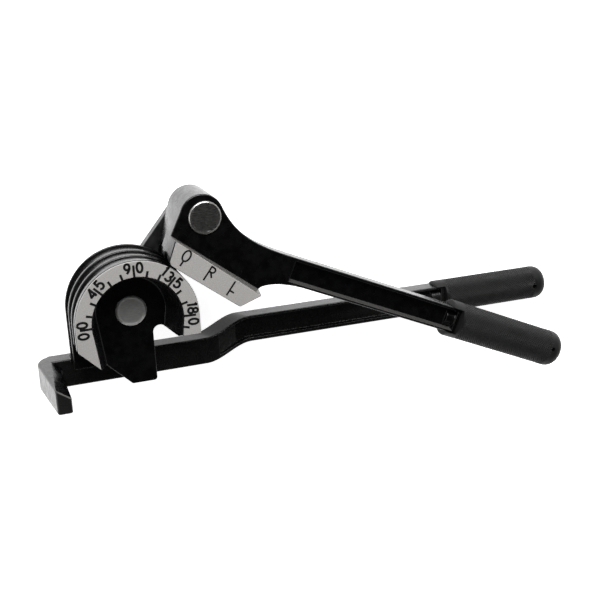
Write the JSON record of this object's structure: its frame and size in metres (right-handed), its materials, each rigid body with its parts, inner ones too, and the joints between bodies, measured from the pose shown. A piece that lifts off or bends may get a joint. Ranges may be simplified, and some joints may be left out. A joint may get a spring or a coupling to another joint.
{
  "type": "tube bender",
  "caption": "Hand tube bender: a fixed handle with a grooved half-round die, degree scale and tube hook, and a grooved forming lever that swings round the die on a link.",
  "frame": {"origin": "on the bending axis, in the plane of the handle's back face", "axes": "+X along the fixed handle towards the grips, +Z along the bending axis out of the degree scale, +Y from the handle towards the die"},
  "size_m": [0.2827, 0.1185, 0.0532],
  "materials": {
    "casting_black": "semi-gloss black paint",
    "scale_plate": "satin silver with black numbers",
    "grip_black": "satin black, fine knurl",
    "link_black": "satin black paint",
    "pin_steel": "turned",
    "washer_steel": "plain"
  },
  "bodies": {
    "frame": {"frame_casting": "casting_black", "degree_scale": "scale_plate", "frame_grip": "grip_black"},
    "link": {"link_plate": "link_black", "die_pin": "pin_steel", "lever_pin": "pin_steel", "die_thrust_washer": "washer_steel", "lever_thrust_washer": "washer_steel", "die_rivet_washer": "washer_steel", "lever_rivet_washer": "washer_steel"},
    "lever": {"lever_casting": "casting_black", "index_scale": "scale_plate", "lever_grip": "grip_black"}
  },
  "joints": [
    {"name": "link_swing", "type": "hinge", "parent": "frame", "child": "link", "pos_m": [0, 0, 0.02], "axis": [0, 0, 1], "range_deg": [-47, 128]},
    {"name": "lever_pivot", "type": "hinge", "parent": "link", "child": "lever", "pos_m": [0.03716, 0.04381, 0.02], "axis": [0, 0, 1], "range_deg": [-6, 150]}
  ]
}
